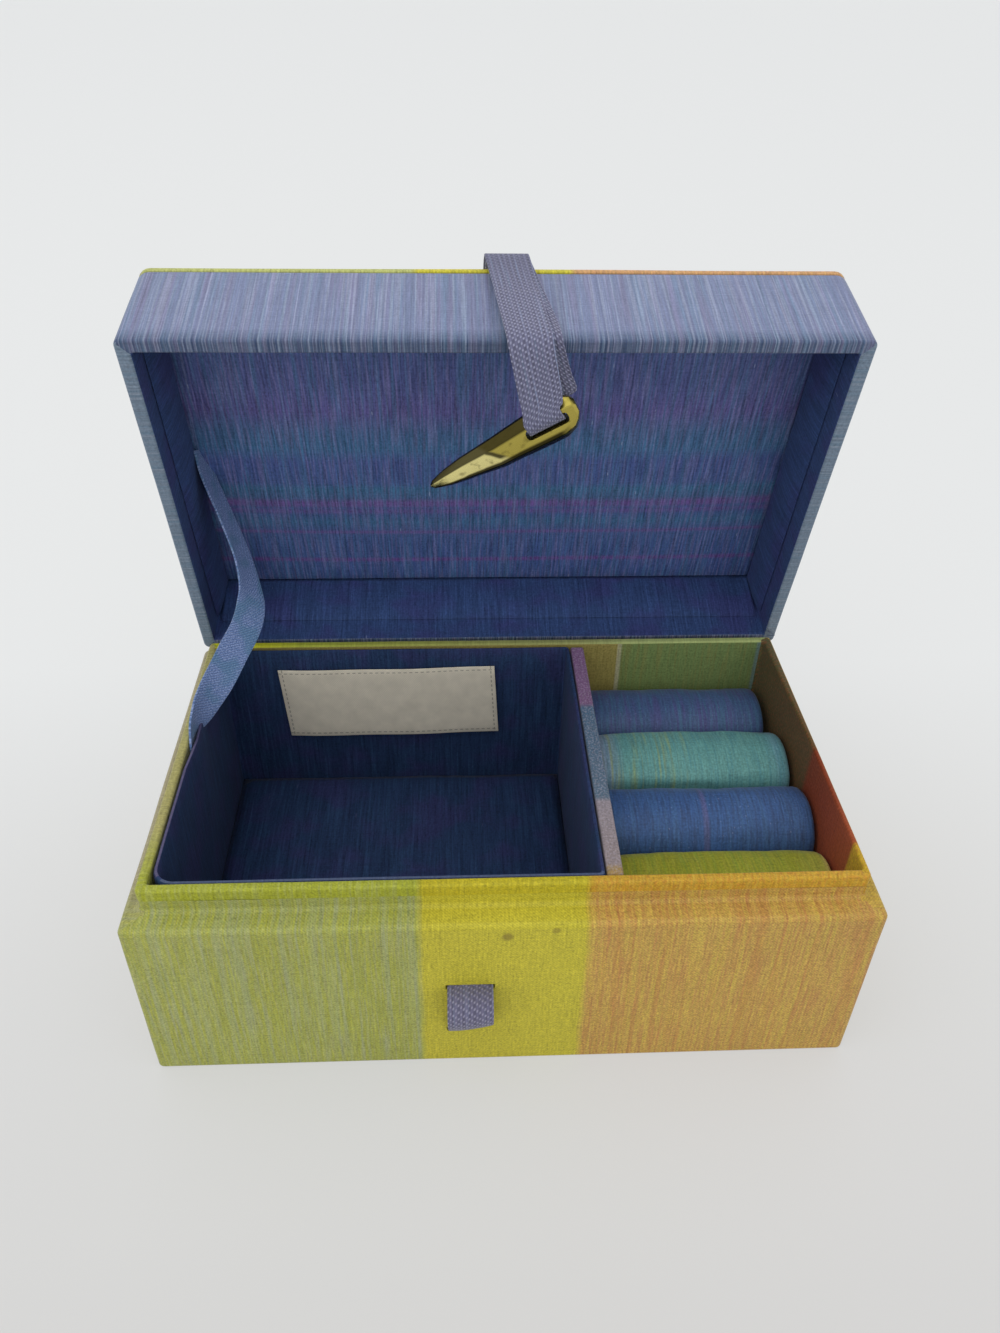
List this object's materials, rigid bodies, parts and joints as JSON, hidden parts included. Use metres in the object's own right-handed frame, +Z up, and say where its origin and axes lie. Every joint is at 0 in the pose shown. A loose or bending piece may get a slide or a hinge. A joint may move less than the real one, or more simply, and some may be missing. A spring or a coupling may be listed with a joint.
{
  "type": "travel jewelry box",
  "caption": "Silk-covered rigid travel jewelry box, hinged lid open, with a lined well, padded ring rolls, a stay ribbon and a tape strap with a brass toggle.",
  "frame": {"origin": "centre of the flat underside of the base, in the plane that it rests on", "axes": "+X to the right along the front edge, +Y from the front to the hinge, +Z up"},
  "size_m": [0.155, 0.1279, 0.1475],
  "materials": {
    "outer_silk": "striped shot silk over board",
    "neck_silk": "striped shot silk over board",
    "lid_silk": "slubbed silk over board",
    "liner_silk": "slubbed silk over thin card",
    "navy_silk": "slubbed silk over thin card",
    "divider_silk": "shot silk over board",
    "blue_violet_silk": "shot silk over wadding",
    "teal_silk": "shot silk over wadding",
    "blue_silk": "shot silk over wadding",
    "green_silk": "shot silk over wadding",
    "ribbon_silk": "thin satin ribbon",
    "tape_weave": "ribbed woven tape",
    "label_cotton": "plain woven cotton",
    "card": "bare grey card",
    "foam": "bare foam",
    "brass": "polished"
  },
  "bodies": {
    "base": {"base_tray": "outer_silk", "bottom_sheet": "card", "neck_frame": "neck_silk", "divider": "divider_silk", "well_liner": "navy_silk", "well_board": "card", "well_pad": "navy_silk", "blank_label": "label_cotton", "ring_bed": "card", "ring_bed_foam": "foam", "ring_roll_1": "blue_violet_silk", "ring_roll_2": "teal_silk", "ring_roll_3": "blue_silk", "ring_roll_4": "green_silk", "closure_loop": "tape_weave", "hinge_cloth": "outer_silk", "stay_ribbon": "ribbon_silk"},
    "lid": {"lid_shell": "lid_silk", "lid_panel": "outer_silk", "lid_top_liner": "liner_silk", "lid_card_left": "navy_silk", "lid_card_right": "navy_silk", "lid_card_front": "navy_silk", "lid_card_back": "navy_silk", "strap_root": "tape_weave"},
    "strap_flap": {"strap_fold": "tape_weave", "strap_flap": "tape_weave"},
    "strap_loop": {"strap_bend": "tape_weave", "strap_tail": "tape_weave"},
    "toggle_bar": {"toggle": "brass"}
  },
  "joints": [
    {"name": "lid_hinge", "type": "hinge", "parent": "base", "child": "lid", "pos_m": [0, 0.0475, 0.0463], "axis": [-1, 0, 0], "range_deg": [-76, 24], "deforming": ["stay_ribbon", "hinge_cloth"]},
    {"name": "strap_lift", "type": "hinge", "parent": "lid", "child": "strap_flap", "pos_m": [0.0023, 0.05215, 0.14671], "axis": [-1, 0, 0], "range_deg": [0, 60]},
    {"name": "strap_drape", "type": "hinge", "parent": "strap_flap", "child": "strap_loop", "pos_m": [0.0055, 0.02141, 0.13977], "axis": [-1, 0, 0], "range_deg": [-32, 99.5]},
    {"name": "toggle_turn", "type": "hinge", "parent": "strap_loop", "child": "toggle_bar", "pos_m": [0.0082, 0.02141, 0.12456], "axis": [0.8746, 0, 0.4848], "range_deg": [-35, 35]}
  ],
  "couplings": [
    {"joint": "strap_drape", "follows": "lid_hinge", "ratio": -1.3}
  ]
}
